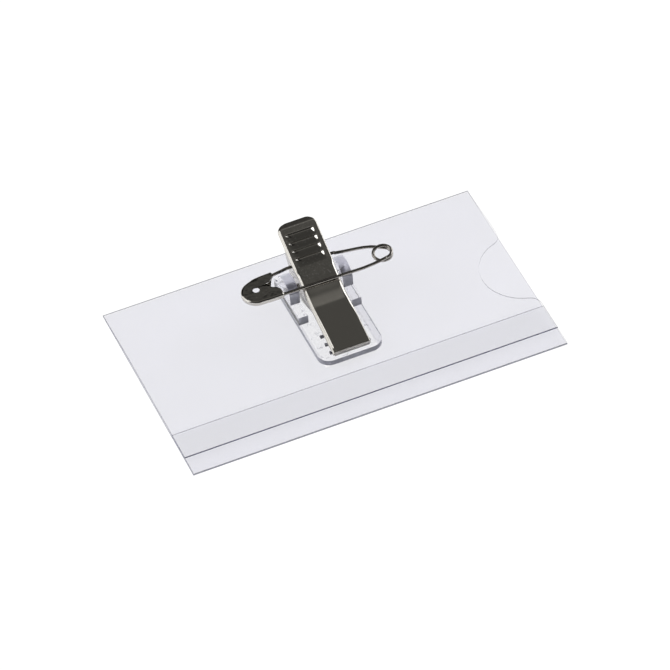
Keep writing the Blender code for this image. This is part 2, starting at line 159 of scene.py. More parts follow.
# Safety pin.
WIRE = 0.74
ARM_LEFT = ((-12.9, 13.18, 9.5), (-9.0, 13.38, 9.5), (-5.2, 13.64, 9.78), (-4.6, 13.65, 9.8))
ARM_RIGHT = ((5.4, 13.65, 9.8), (6.6, 13.38, 9.8), (8.6, 12.95, 9.8), (10.3, 12.65, 9.8))
ARM_BOW = ((12.4, 12.25, 9.8), (14.0, 11.78, 9.8), (15.1, 11.3, 9.8))
COIL_RADIUS = 2.1
COIL_DEPTH = 1.87
COIL_STEPS = 72
COIL_PITCH = 0.78
COIL_TURNS = 1.5
COIL_TILT = 0.2
NEEDLE_BOW = ((14.1, 6.12, 10.12), (12.1, 5.9, 10.1), (9.6, 5.83, 10.06), (4.8, 6.04, 9.97))
NEEDLE_TIP = (-14.6, 6.74, 9.58)
NEEDLE_TAPER = 5.5
CAP_SHEET = 0.22
CAP_FLOOR = 8.87
CAP_MOUTH = -8.6
CAP_HEAD = (-14.0, 9.55, 3.6)
CAP_ARM = (13.38, 9.5)
CAP_NEEDLE = (6.6, 9.59)
CAP_TOP = 10.38
CAP_ROUND = 0.55
CAP_HOLE = (-14.0, 9.85, 0.8)
CAP_GAP = (
    (-7.0, 13.3),
    (-9.0, 13.0),
    (-9.15, 12.45),
    (-9.7, 11.5),
    (-10.6, 10.9),
    (-12.2, 10.6),
    (-13.7, 10.5),
    (-13.7, 10.3),
    (-12.3, 10.35),
    (-11.3, 10.05),
    (-10.7, 9.4),
    (-9.4, 8.6),
    (-8.9, 8.0),
    (-8.6, 7.4),
    (-8.5, 5.0),
    (-7.0, 5.0),
)
CAP_FLOOR_CUT = (
    (-7.0, 13.3),
    (-9.0, 13.0),
    (-9.7, 11.7),
    (-10.3, 10.4),
    (-9.8, 8.6),
    (-8.7, 7.2),
    (-7.0, 7.0),
)

# Torsion spring round the axle.
SPRING_WIRE = 0.5
SPRING_RADIUS = 1.35
SPRING_TURNS = 4
SPRING_PITCH = 0.7
SPRING_FOOT = 16.3
SPRING_LEG_ANGLE = 53.5

SLEEVE_LOW, SLEEVE_HIGH = BOXES["sleeve"]
BASE_LOW, BASE_HIGH = BOXES["clip_base"]
PLATE_TOP = BASE_LOW.z + PLATE_THICKNESS
RAIL_TOP = PLATE_TOP + RAIL_HEIGHT


# ---------------------------------------------------------------- helpers


def blend(value, low, high):
    """0 below low, 1 above high, and smooth between them."""
    t = min(max((value - low) / (high - low), 0.0), 1.0)
    return t * t * (3 - 2 * t)


def steps_between(low, high, count):
    return [low + (high - low) * i / count for i in range(count + 1)]


def arc(centre, radius, start, end, steps):
    """Points on an arc, from start to end in degrees."""
    angles = [math.radians(a) for a in steps_between(start, end, steps)]
    return [(centre[0] + radius * math.cos(a), centre[1] + radius * math.sin(a)) for a in angles]


def rounded_rectangle(low, high, radius, steps=12):
    left, right = low[0] + radius, high[0] - radius
    front, rear = low[1] + radius, high[1] - radius
    outline = []
    for k, centre in enumerate(((right, rear), (left, rear), (left, front), (right, front))):
        outline += arc(centre, radius, 90 * k, 90 * k + 90, steps)
    return outline


def finish(name, data, looks, smooth_angle=35.0):
    """A mesh object in metres from a bmesh in millimetres."""
    bmesh.ops.recalc_face_normals(data, faces=data.faces)
    data.transform(Matrix.Scale(MM, 4))
    mesh = bpy.data.meshes.new(name)
    data.to_mesh(mesh)
    data.free()
    made = bpy.data.objects.new(name, mesh)
    bpy.context.collection.objects.link(made)
    for look in looks:
        mesh.materials.append(look)
    mesh.shade_smooth()
    if smooth_angle is not None:
        mesh.set_sharp_from_angle(angle=math.radians(smooth_angle))
    return made


def prism(outline, axis, low, high):
    """A closed prism: (x, y) points raised along Z, or (y, z) points drawn out along X."""
    data = bmesh.new()
    ends = []
    for level in (low, high):
        if axis == "Z":
            points = [(u, v, level) for u, v in outline]
        else:
            points = [(level, u, v) for u, v in outline]
        ends.append([data.verts.new(p) for p in points])
    data.faces.new(ends[0])
    data.faces.new(reversed(ends[1]))
    count = len(outline)
    for i in range(count):
        j = (i + 1) % count
        data.faces.new((ends[0][i], ends[0][j], ends[1][j], ends[1][i]))
    return data


def boolean(target, data, operation):
    """Applies an exact Boolean with a bmesh, leaving no modifier or helper behind."""
    other = finish("cutter", data, [], smooth_angle=None)
    modifier = target.modifiers.new("cutter", "BOOLEAN")
    modifier.operation = operation
    modifier.solver = "EXACT"
    modifier.object = other
    apply_modifiers(target)
    bpy.data.objects.remove(other)


def apply_modifiers(target):
    graph = bpy.context.evaluated_depsgraph_get()
    graph.update()
    mesh = bpy.data.meshes.new_from_object(target.evaluated_get(graph))
    old = target.data
    target.modifiers.clear()
    target.data = mesh
    mesh.name = old.name
    bpy.data.meshes.remove(old)


def bevel(target, width, segments=2, angle=40.0):
    modifier = target.modifiers.new("edge_rounding", "BEVEL")
    modifier.width = width * MM
    modifier.segments = segments
    modifier.limit_method = "ANGLE"
    modifier.angle_limit = math.radians(angle)
    modifier.harden_normals = True
    modifier.use_clamp_overlap = True
    apply_modifiers(target)


def even_shading(target, sharp=35.0):
    """Keeps large faces flat in shade beside their rounded edges."""
    target.data.set_sharp_from_angle(angle=math.radians(sharp))
    modifier = target.modifiers.new("even_shading", "WEIGHTED_NORMAL")
    modifier.keep_sharp = True
    modifier.weight = 100
    apply_modifiers(target)


def smooth_path(points, per_span):
    """A Catmull-Rom curve through the points, so that bends are round."""
    path = [Vector(p) for p in points]
    padded = [2 * path[0] - path[1], *path, 2 * path[-1] - path[-2]]
    curve = []
    for a, b, c, d in zip(padded, padded[1:], padded[2:], padded[3:]):
        for i in range(per_span):
            t = i / per_span
            curve.append(
                0.5 * (2 * b + (c - a) * t + (2 * a - 5 * b + 4 * c - d) * t**2)
                + 0.5 * (3 * b - a - 3 * c + d) * t**3
            )
    curve.append(path[-1])
    return curve


def wire(name, path, radius_at, look, sides=20):
    """A round-ended wire along a path; radius_at gives the radius at a share of its length."""
    data = bmesh.new()
    path = [Vector(p) for p in path]
    lengths = [0.0]
    for a, b in itertools.pairwise(path):
        lengths.append(lengths[-1] + (b - a).length)
    rings = []
    side = Vector((0.0, 0.0, 1.0))

    def ring(centre, across, up, size):
        turns = [2 * math.pi * k / sides for k in range(sides)]
        points = [centre + (up * math.cos(t) + across * math.sin(t)) * size for t in turns]
        return [data.verts.new(p) for p in points]

    frames = []
    for i, here in enumerate(path):
        ahead = path[min(i + 1, len(path) - 1)] - path[max(i - 1, 0)]
        ahead.normalize()
        side = (side - ahead * side.dot(ahead)).normalized()
        radius = radius_at(lengths[i] / lengths[-1])
        frames.append((here, ahead, ahead.cross(side), side.copy(), radius))
    dome = [math.radians(a) for a in (75, 50, 25)]
    here, ahead, across, up, size = frames[0]
    for a in dome:
        centre = here + ahead * size * (1 - math.sin(a))
        rings.append(ring(centre, across, up, size * math.cos(a)))
    for here, ahead, across, up, size in frames[1:-1]:
        rings.append(ring(here, across, up, size))
    here, ahead, across, up, size = frames[-1]
    for a in reversed(dome):
        centre = here - ahead * size * (1 - math.sin(a))
        rings.append(ring(centre, across, up, size * math.cos(a)))
    for first, second in itertools.pairwise(rings):
        for k in range(sides):
            n = (k + 1) % sides
            data.faces.new((first[k], first[n], second[n], second[k]))
    data.faces.new(rings[0])
    data.faces.new(rings[-1])
    return finish(name, data, [look], smooth_angle=60.0)


# -------------------------------------------------------------- materials


class Look:
    """A Principled material with noise driving its colour, roughness and relief."""

    def __init__(self, name):
        self.material = bpy.data.materials.new(name)
        self.material.use_nodes = True
        self.tree = self.material.node_tree
        self.shader = self.tree.nodes["Principled BSDF"]
        self.place = self.tree.nodes.new("ShaderNodeTexCoord").outputs["Object"]

    def set(self, **values):
        for socket, value in values.items():
            self.shader.inputs[socket.replace("_", " ")].default_value = value
        return self

    def noise(self, scale, detail=3.0, stretch=(1.0, 1.0, 1.0)):
        mapping = self.tree.nodes.new("ShaderNodeMapping")
        mapping.inputs["Scale"].default_value = stretch
        texture = self.tree.nodes.new("ShaderNodeTexNoise")
        texture.inputs["Scale"].default_value = scale
        texture.inputs["Detail"].default_value = detail
        self.tree.links.new(self.place, mapping.inputs["Vector"])
        self.tree.links.new(mapping.outputs["Vector"], texture.inputs["Vector"])
        return texture.outputs["Fac"]

    def ramp(self, source, stops):
        """Colours or greys along a value; stops are (position, colour)."""
        node = self.tree.nodes.new("ShaderNodeValToRGB")
        elements = node.color_ramp.elements
        while len(elements) < len(stops):
            elements.new(0.5)
        for element, (position, colour) in zip(elements, stops):
            element.position = position
            rgb = colour if isinstance(colour, tuple) else (colour,) * 3
            element.color = (*rgb, 1.0)
        self.tree.links.new(source, node.inputs["Fac"])
        return node.outputs["Color"]

    def share(self, axis, low, high):
        """0 to 1 along an axis of the object, between two places in mm."""
        split = self.tree.nodes.new("ShaderNodeSeparateXYZ")
        self.tree.links.new(self.place, split.inputs["Vector"])
        node = self.tree.nodes.new("ShaderNodeMapRange")
        node.interpolation_type = "SMOOTHSTEP"
        node.inputs["From Min"].default_value = low * MM
        node.inputs["From Max"].default_value = high * MM
        self.tree.links.new(split.outputs[axis], node.inputs["Value"])
        return node.outputs["Result"]

    def product(self, *sources):
        result = sources[0]
        for source in sources[1:]:
            node = self.tree.nodes.new("ShaderNodeMath")
            node.operation = "MULTIPLY"
            self.tree.links.new(result, node.inputs[0])
            self.tree.links.new(source, node.inputs[1])
            result = node.outputs["Value"]
        return result

    def drive(self, socket, output):
        self.tree.links.new(output, self.shader.inputs[socket])
        return self

    def bump(self, *layers):
        """Relief from (height, strength, depth in mm) layers, one on another."""
        normal = None
        for height, strength, depth in layers:
            node = self.tree.nodes.new("ShaderNodeBump")
            node.inputs["Strength"].default_value = strength
            node.inputs["Distance"].default_value = depth * MM
            self.tree.links.new(height, node.inputs["Height"])
            if normal is not None:
                self.tree.links.new(normal, node.inputs["Normal"])
            normal = node.outputs["Normal"]
        self.tree.links.new(normal, self.shader.inputs["Normal"])
        return self


def vinyl_look(name, alpha, tint):
    """Clear flexible sheet: a faint blue-grey body, soft waves, fine rub marks, and painted light
    where the adhesive pad lies.
    """
    look = Look(name).set(Metallic=0.0, IOR=1.5)
    # Painted light: the sheet is made far clearer in the adhesive pad's box, so it shows lighter
    # under the clip base.
    low, high = BOXES["adhesive_pad"]
    painted_light_over_pad = look.product(
        look.share("X", low.x - 0.3, low.x + 0.3),
        look.share("X", high.x + 0.3, high.x - 0.3),
        look.share("Y", low.y - 0.3, low.y + 0.3),
        look.share("Y", high.y + 0.3, high.y - 0.3),
    )
    look.drive("Alpha", look.ramp(painted_light_over_pad, [(0.0, alpha), (1.0, 0.15 * alpha)]))
    darker = tuple(0.88 * part for part in tint)
    look.drive("Base Color", look.ramp(look.noise(90.0, 4.0), [(0.3, darker), (0.7, tint)]))
    rub = look.noise(1400.0, 3.0, (1.0, 0.15, 1.0))
    look.drive("Roughness", look.ramp(rub, [(0.3, 0.16), (0.8, 0.30)]))
    return look.bump((look.noise(60.0, 2.0), 0.25, 0.4), (rub, 0.04, 0.02)).material


def vinyl_edge_look(name, alpha, tint):
    """Cut or folded edge of the sheet, where light leaves it darker and bluer."""
    look = Look(name).set(Metallic=0.0, IOR=1.5, Alpha=alpha)
    grain = look.noise(1800.0, 2.0, (0.2, 0.2, 1.0))
    darker = tuple(0.7 * part for part in tint)
    look.drive("Base Color", look.ramp(grain, [(0.3, darker), (0.7, tint)]))
    look.drive("Roughness", look.ramp(grain, [(0.3, 0.35), (0.8, 0.55)]))
    return look.bump((grain, 0.3, 0.05)).material


def moulding_look():
    """Hard clear moulding with flow clouds and a scatter of sink specks."""
    look = Look("clear_moulding").set(Metallic=0.0, IOR=1.49, Transmission_Weight=1.0)
    specks = look.noise(900.0, 5.0, (1.0, 0.6, 1.0))
    stops = [(0.31, (0.50, 0.50, 0.55)), (0.37, (0.98, 0.98, 1.0))]
    look.drive("Base Color", look.ramp(specks, stops))
    look.drive("Roughness", look.ramp(look.noise(500.0, 3.0), [(0.3, 0.01), (0.75, 0.06)]))
    return look.bump((specks, 0.25, 0.05)).material


def moulding_painted_look(name, clear, tint):
    """The same moulding made less clear and tinted: painted shade on its upright walls and ridges,
    painted light on its ear tops.
    """
    look = Look(name).set(Metallic=0.0, IOR=1.49, Transmission_Weight=clear)
    streaks = look.noise(900.0, 4.0, (1.0, 1.0, 0.25))
    darker = tuple(0.78 * part for part in tint)
    look.drive("Base Color", look.ramp(streaks, [(0.3, darker), (0.7, tint)]))
    look.drive("Roughness", look.ramp(streaks, [(0.3, 0.30), (0.75, 0.45)]))
    return look.bump((streaks, 0.2, 0.04)).material


def adhesive_look():
    look = Look("clear_adhesive").set(Metallic=0.0, IOR=1.47, Alpha=0.03)
    bubbles = look.noise(700.0, 4.0)
    stops = [(0.4, (0.62, 0.63, 0.68)), (0.6, (0.72, 0.72, 0.77))]
    look.drive("Base Color", look.ramp(bubbles, stops))
    look.drive("Roughness", look.ramp(bubbles, [(0.3, 0.30), (0.8, 0.55)]))
    return look.bump((bubbles, 0.3, 0.05)).material


def nickel_look(name, dent_scale, dents):
    """Bright nickel plate: rolling grain, dents of a depth in mm, specks towards the tab."""
    look = Look(name).set(Metallic=1.0)
    clouds = look.noise(dent_scale, 2.0)
    specks = look.product(look.noise(2300.0, 3.0), look.share("Y", 3.0, 8.0))
    plate = [(0.0, (0.59, 0.57, 0.53)), (0.58, (0.63, 0.61, 0.57)), (0.70, (0.86, 0.84, 0.82))]
    look.drive("Base Color", look.ramp(specks, plate))
    grain = look.noise(1500.0, 3.0, (1.0, 0.08, 1.0))
    look.drive("Roughness", look.ramp(grain, [(0.3, 0.07), (0.8, 0.17)]))
    return look.bump((clouds, 0.5, dents), (specks, 0.12, 0.03)).material


def steel_look():
    """Drawn wire: fine lengthwise lines and darker oxide in patches."""
    look = Look("steel_wire").set(Metallic=1.0)
    patches = look.noise(700.0, 4.0, (0.35, 1.0, 1.0))
    stops = [(0.3, (0.33, 0.31, 0.285)), (0.7, (0.50, 0.48, 0.45))]
    look.drive("Base Color", look.ramp(patches, stops))
    lines = look.noise(2600.0, 3.0, (0.1, 1.0, 1.0))
    look.drive("Roughness", look.ramp(lines, [(0.3, 0.16), (0.8, 0.34)]))
    return look.bump((lines, 0.25, 0.04)).material


def table_look():
    """The lit white top of a light table."""
    look = Look("light_table").set(Metallic=0.0, Roughness=0.8, Emission_Strength=0.98)
    paper = look.noise(40.0, 3.0)
    look.drive("Base Color", look.ramp(paper, [(0.3, 0.20), (0.7, 0.22)]))
    look.drive("Emission Color", look.ramp(paper, [(0.3, 0.99), (0.7, 1.0)]))
    return look.material


# ----------------------------------------------------------------- sleeve


def notch_edge(y):
    """X of the back panel's end at a height: straight, with the thumb notch and its lips."""
    end = SLEEVE_HIGH.x
    centre_x, centre_y = NOTCH_CENTRE
    lip_x = end - NOTCH_LIP
    rise = math.sqrt((NOTCH_RADIUS + NOTCH_LIP) ** 2 - (centre_x - lip_x) ** 2)
    away = abs(y - centre_y)
    touch = rise * NOTCH_RADIUS / (NOTCH_RADIUS + NOTCH_LIP)
    if away >= rise:
        return end
    if away >= touch:
        return lip_x + math.sqrt(max(NOTCH_LIP**2 - (rise - away) ** 2, 0.0))
    return centre_x - math.sqrt(NOTCH_RADIUS**2 - away**2)


def fold_rows(points, before, after):
    """Rows round a fold, of which only the outermost third carries the fold's look, a painted band
    of shade.
    """
    third = len(points) // 3
    sections = [before] * third + ["fold"] * third + [after] * (len(points) - 2 * third)
    return [(y, z, section) for (y, z), section in zip(points, sections)]


def sleeve_rows():
    """Middle of the sheet as (y, z, section), from the back panel's cut edge to the flap's."""
    half = SLEEVE_HIGH.y
    back = SLEEVE_HIGH.z - SHEET / 2
    front = SHEET / 2
    top_fold = (back - FOLD_DIP - front) / 2
    flap = SLEEVE_HIGH.z - SHEET - FLAP_GAP - SHEET / 2
    low_fold = (flap - front) / 2
    top = half - SHEET / 2 - top_fold
    low = -half + SHEET / 2 + low_fold
    heights = steps_between(BACK_EDGE + EDGE_LINE, NOTCH_ZONE[0], 6)[:-1]
    heights += steps_between(*NOTCH_ZONE, 72)[:-1]
    heights += steps_between(NOTCH_ZONE[1], top, 12)
    on_seam = [y for y in heights if y < FLAP_EDGE + 0.6]
    rows = [(BACK_EDGE, back, "edge"), (on_seam[0], back, "edge")]
    rows += [(y, back, "seam") for y in on_seam[1:]]
    heights = heights[len(on_seam):]
    rows += [(y, back - FOLD_DIP * blend(y, 12.0, half - 1.0), "back") for y in heights]
    rows += fold_rows(arc((top, front + top_fold), top_fold, 90, -90, 12)[1:], "back", "front")
    rows += [(y, front, "front") for y in steps_between(top, low, 24)[1:]]
    rows += fold_rows(arc((low, front + low_fold), low_fold, -90, -270, 12)[1:], "front", "flap")
    rows += [(y, flap, "flap") for y in steps_between(low, BACK_EDGE, 3)[1:]]
    rows += [(y, flap, "seam") for y in steps_between(BACK_EDGE, FLAP_EDGE, 4)[1:]]
    return rows


def sleeve_wave(x, y):
    """Slight waves of the back panel, away from the clip and from the welded seam."""
    clear = blend(abs(x - CLIP_X), 10.0, 18.0) * (1 - blend(abs(x), 32.0, 44.0))
    clear *= blend(y, -13.0, -6.0)
    return clear * (0.10 * math.sin(x * 0.17 + 0.8) + 0.06 * math.sin(x * 0.31 + y * 0.12))


def build_sleeve(looks):
    """One folded sheet; looks are keyed by section, with the cut edge's look as well."""
    data = bmesh.new()
    # The first column down the sheet's left end carries the cut look: a painted dark line of edge
    # shade.
    strip = EDGE_LINE / 2 / (SLEEVE_HIGH.x - SLEEVE_LOW.x)
    shares = [0.0, strip, *steps_between(0.0, 1.0, 60)[1:]]
    sections = list(looks)
    grid = []
    for y, z, section in sleeve_rows():
        on_back = section in ("seam", "back", "edge") and z > SLEEVE_HIGH.z - SHEET
        end = notch_edge(y) if on_back else SLEEVE_HIGH.x
        row = []
        for share in shares:
            x = SLEEVE_LOW.x + (end - SLEEVE_LOW.x) * share
            row.append(data.verts.new((x, y, z + (sleeve_wave(x, y) if on_back else 0.0))))
        grid.append((row, sections.index(section)))
    for (first, _), (second, section) in itertools.pairwise(grid):
        for k in range(len(shares) - 1):
            face = data.faces.new((first[k], first[k + 1], second[k + 1], second[k]))
            face.material_index = section if k else sections.index("cut")
    sleeve = finish("sleeve_sheet", data, list(looks.values()), smooth_angle=None)
    solid = sleeve.modifiers.new("sheet_thickness", "SOLIDIFY")
    solid.thickness = SHEET * MM
    solid.offset = 0.0
    solid.material_offset_rim = len(looks)  # clamped to the last look, the cut's
    apply_modifiers(sleeve)
    for face in sleeve.data.polygons:
        x, y, z = face.center / MM
        shaded = abs(y - BACK_EDGE) < SHEET or x < SLEEVE_LOW.x + SHEET
        upright = abs(face.normal.z) < 0.5
        if face.material_index == sections.index("cut") and shaded and upright:
            face.material_index = sections.index("edge")
    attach(sleeve, "badge")
    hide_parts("sleeve")


# -------------------------------------------------------------- clip base


def rail_outline():
    foot = PLATE_TOP - RAIL_ROOT
    y, z = EAR_CENTRE
    start = math.degrees(math.acos((EAR_FRONT - y) / EAR_RADIUS))
    back = y + EAR_RADIUS * 0.93
    end = math.degrees(math.acos((back - y) / EAR_RADIUS))
    dome = arc((y, z), EAR_RADIUS, start, end, 32)
    rear_end = BASE_HIGH.y - RAIL_REAR_INSET
    front = [(RAIL_FRONT, foot), (RAIL_FRONT, RAIL_TOP), (EAR_FRONT, RAIL_TOP)]
    return front + dome + [(back, RAIL_TOP), (rear_end, RAIL_TOP), (rear_end, foot)]


def paint_base_shade_and_light(base):
    """Painted shade on the plate's rim, on faces that look forwards and on ridges, and painted
    light on ear tops.
    """
    for face in base.data.polygons:
        x, y, z = face.center / MM
        upright = abs(face.normal.z) < 0.5
        if upright and (z < PLATE_TOP - 0.05 or face.normal.y < -0.8):
            face.material_index = SHADE_PAINTED_SIDES
        by_ridges = y < RAIL_FRONT - 1.0 and abs(x - CLIP_X) < RIDGE_HALF_LENGTH + 0.1
        if z > PLATE_TOP - 0.05 and by_ridges:
            face.material_index = SHADE_PAINTED_RIDGES if upright or z > PLATE_TOP + 0.1 else 0
        # Ear tops get a lavender, less clear copy of the moulding: painted light.
        if z > RAIL_TOP + 0.2 and abs(face.normal.x) < 0.5 and not upright:
            face.material_index = LIGHT_PAINTED_EARS


def build_base(looks):
    outline = rounded_rectangle((BASE_LOW.x, BASE_LOW.y), (BASE_HIGH.x, BASE_HIGH.y), PLATE_CORNER)
    data = prism(outline, "Z", BASE_LOW.z, PLATE_TOP)
    base = finish("clip_base_moulding", data, looks)
    half = (BASE_HIGH.x - BASE_LOW.x) / 2
    for side in (-1, 1):
        outer = CLIP_X + side * (half - RAIL_INSET)
        inner = CLIP_X + side * (half - RAIL_WIDTH)
        block = prism(rail_outline(), "X", min(inner, outer), max(inner, outer))
        boolean(base, block, "UNION")
    depth, height = RIDGE_SIZE
    for front in RIDGE_FRONTS:
        outline = [
            (front, PLATE_TOP - RIDGE_ROOT),
            (front + depth, PLATE_TOP - RIDGE_ROOT),
            (front + depth, PLATE_TOP + height * 0.6),
            (front + depth * 0.4, PLATE_TOP + height),
            (front, PLATE_TOP + height),
        ]
        block = prism(outline, "X", CLIP_X - RIDGE_HALF_LENGTH, CLIP_X + RIDGE_HALF_LENGTH)
        boolean(base, block, "UNION")
    bore = (BOXES["axle_pin"][1].x - BOXES["axle_pin"][0].x) / 2 + 0.15
    outline = arc((AXLE.y, AXLE.z), AXLE_RADIUS + BORE_CLEARANCE, 0, 350, 35)
    boolean(base, prism(outline, "X", CLIP_X - bore, CLIP_X + bore), "DIFFERENCE")
    bevel(base, 0.1, segments=2)
    paint_base_shade_and_light(base)
    even_shading(base)
    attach(base, "badge")
    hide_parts("clip_base")


# ------------------------------------------------------------------ lever


def lever_path():
    """The strip's top line as a function: distance from the tip to (y, z) and slope."""
    tip, fold, end = (Vector(p) for p in (LEVER_TIP, LEVER_FOLD, LEVER_END))
    jaw_angle = math.atan2(*reversed(fold - tip))
    tab_angle = math.atan2(*reversed(end - fold))
    turn = tab_angle - jaw_angle
    setback = FOLD_RADIUS * math.tan(turn / 2)
    jaw_length = (fold - tip).length - setback
    bend_length = FOLD_RADIUS * turn
    total = jaw_length + bend_length + (end - fold).length - setback
    bend_start = tip + (fold - tip).normalized() * jaw_length
    centre = bend_start + Vector((-math.sin(jaw_angle), math.cos(jaw_angle))) * FOLD_RADIUS

    def at(s):
        if s <= jaw_length:
            return tip + (fold - tip).normalized() * s, jaw_angle
        if s < jaw_length + bend_length:
            slope = jaw_angle + (s - jaw_length) / FOLD_RADIUS
            return centre + FOLD_RADIUS * Vector((math.sin(slope), -math.cos(slope))), slope
        rest = s - jaw_length - bend_length + setback
        return fold + (end - fold).normalized() * rest, tab_angle

    return at, total


def flange_drop(s, total):
    """Depth of the side flange below the strip's top: shallow, deep at the axle, shallow."""
    from_end = total - s
    before_axle = blend(s, *FLANGE_DEEPENS)
    after_axle = 0.42 * blend(from_end, 4.8, 8.2) + 0.58 * blend(from_end, 8.0, 10.5)
    at_tip = 1 - blend(s, 0.4, 0.8)
    deeper = (FLANGE_DEPTH_AT_AXLE - FLANGE_DEPTH) * before_axle * after_axle
    return FLANGE_DEPTH + (FLANGE_DEPTH_AT_TIP - FLANGE_DEPTH) * at_tip + deeper


def half_width(from_end, half, corner):
    if from_end >= corner:
        return half
    return half - corner + math.sqrt(max(corner**2 - (corner - from_end) ** 2, 0.0))


def rib_lift(from_end, across):
    """Height of the pressed grip ribs: steep on the far side, gentle on the near side."""
    right_end = 1 - blend(across, RIB_HALF_LENGTH - 0.8, RIB_HALF_LENGTH + 0.2)
    lift = 0.0
    for place in RIBS_FROM_END:
        behind = from_end - place
        ramp = 0.2 + 1.3 * blend(behind, 0.1, 0.8)
        left_end = blend(across, -RIB_HALF_LENGTH - 0.1, -RIB_HALF_LENGTH + ramp)
        rib = blend(behind, -RIB_FAR, 0.15) * (1 - blend(behind, 0.3, RIB_NEAR))
        lift = max(lift, rib * left_end)
    return RIB_HEIGHT * lift * right_end


def edge_profile(side, on_tab, on_jaw, at_fold):
    """(turn start, roll, depth) of the bend from the strip's top into its side flange."""
    if side < 0:
        crease = 34.0 * on_jaw + 30.0 * on_tab
        return crease, 1.05 - 0.35 * on_tab, 0.85 - 0.25 * on_tab
    away = max(on_jaw, on_tab)
    return 60.0 * away, 0.75 - 0.5 * away + 0.6 * at_fold, 0.65 - 0.3 * away


def crown(at_fold, from_end, across):
    """Rise of the strip's top at its fold, and its dip at the tab's end."""
    share = abs(across) / STRIP_HALF_WIDTH
    end = max(1 - from_end / END_DIP_LENGTH, 0.0)
    return FOLD_CROWN * at_fold * (1 - share**4) - END_DIP * end


def lever_ring(s, total, at, skin):
    shown = min(max(s, skin), total - skin)
    (y, z), slope = at(shown)
    on_tab = blend(s, *TAB_STARTS)
    on_jaw = 1 - blend(s, *JAW_ENDS)
    at_fold = blend(s, *FOLD_STARTS) * (1 - blend(s, *FOLD_ENDS))
    from_end = total - skin - shown
    half = STRIP_HALF_WIDTH + TAB_EXTRA_HALF_WIDTH * on_tab
    outer = half_width(from_end, half - skin, TAB_CORNER - skin)
    drop = flange_drop(s, total)
    up = Vector((-math.sin(slope), math.cos(slope)))
    ring = []
    for side in (-1, 1):
        crease, roll, depth = edge_profile(side, on_tab, on_jaw, at_fold)
        flat = outer + skin - roll
        low, span = math.sin(math.radians(crease)), math.cos(math.radians(crease))
        profile = []
        for across in steps_between(0.0, flat, 30)[:-1]:
            profile.append((across, -skin + rib_lift(total - s, side * across)))
        for turn in steps_between(math.radians(crease), math.pi / 2, BEND_STEPS):
            out = (math.sin(turn) - low) / (1 - low)
            down = (span - math.cos(turn)) / span
            profile.append((flat + (outer - flat) * out, -skin - (depth - skin) * down))
        for share in (0.25, 0.5, 0.75, 1.0):
            profile.append((outer, -depth - (drop - depth) * share))
        if side < 0:
            profile = profile[:0:-1]
        for across, lift in profile:
            point = Vector((y, z)) + up * (lift + crown(at_fold, total - s, across))
            ring.append((CLIP_X + side * across, point.x, point.y))
    return ring


def front_lip():
    """Turned-down front edge of the jaw, as (y, z)."""
    y, z = LEVER_TIP
    slope = math.atan2(LEVER_FOLD[1] - z, LEVER_FOLD[0] - y)
    along = Vector((math.cos(slope), math.sin(slope)))
    normal = Vector((-along.y, along.x))
    centre = (y + LIP_RADIUS, z - LIP_RADIUS * (1 - math.sin(slope)) / math.cos(slope))
    start = Vector((y, z)) + along * 1.2
    under = start - normal * (STRIP + 0.02)
    turn = arc(centre, LIP_RADIUS, 90 + math.degrees(slope), 135, 5)
    turn += arc(centre, LIP_RADIUS, 161, 180, 4)
    foot = z - LIP_DEPTH
    return [tuple(start), *turn, (y, foot), (y + 0.3, foot), (y + 0.3, z - 0.7), tuple(under)]


def build_lever(look):
    at, total = lever_path()
    ribs_start = total - RIBS_FROM_END[-1] - 1.0
    stations = steps_between(0.0, 1.2, 8)[:-1]
    stations += steps_between(1.2, 11.0, 20)[:-1]
    stations += steps_between(11.0, ribs_start, 60)[:-1]
    stations += steps_between(ribs_start, total - TAB_CORNER, 70)[:-1]
    stations += [total - TAB_CORNER * (1 - math.sin(math.pi / 2 * k / 16)) for k in range(17)]
    data = bmesh.new()
    skins = []
    for skin in (0.0, STRIP):
        rings = [lever_ring(s, total, at, skin) for s in stations]
        skins.append([[data.verts.new(p) for p in ring] for ring in rings])
    for grid in skins:
        for first, second in itertools.pairwise(grid):
            for k in range(len(first) - 1):
                data.faces.new((first[k], first[k + 1], second[k + 1], second[k]))
        for ring in (grid[0], grid[-1]):
            data.faces.new(ring)
    outer, inner = skins
    for side in (0, -1):
        for i in range(len(stations) - 1):
            rim = (outer[i][side], outer[i + 1][side], inner[i + 1][side], inner[i][side])
            data.faces.new(rim)
    for end in (0, -1):
        data.faces.new((outer[end][0], outer[end][-1], inner[end][-1], inner[end][0]))
    lever = finish("clip_lever_pressing", data, [look], smooth_angle=38.0)
    lip_reach = STRIP_HALF_WIDTH - 0.3
    lip = prism(front_lip(), "X", CLIP_X - lip_reach, CLIP_X + lip_reach)
    boolean(lever, lip, "UNION")
    reach = STRIP_HALF_WIDTH + 1.0
    axle_hole = (AXLE, AXLE_RADIUS + HOLE_CLEARANCE)
    arm_hole = (PIN_AXIS, WIRE / 2 + ARM_CLEARANCE)
    for centre, radius in (axle_hole, arm_hole):
        outline = arc((centre.y, centre.z), radius, 0, 350, 35)
        boolean(lever, prism(outline, "X", CLIP_X - reach, CLIP_X + reach), "DIFFERENCE")
    lever.data.set_sharp_from_angle(angle=math.radians(38.0))
    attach(lever, "lever")
    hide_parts("clip_lever")


# ----------------------------------------------------------------- spring


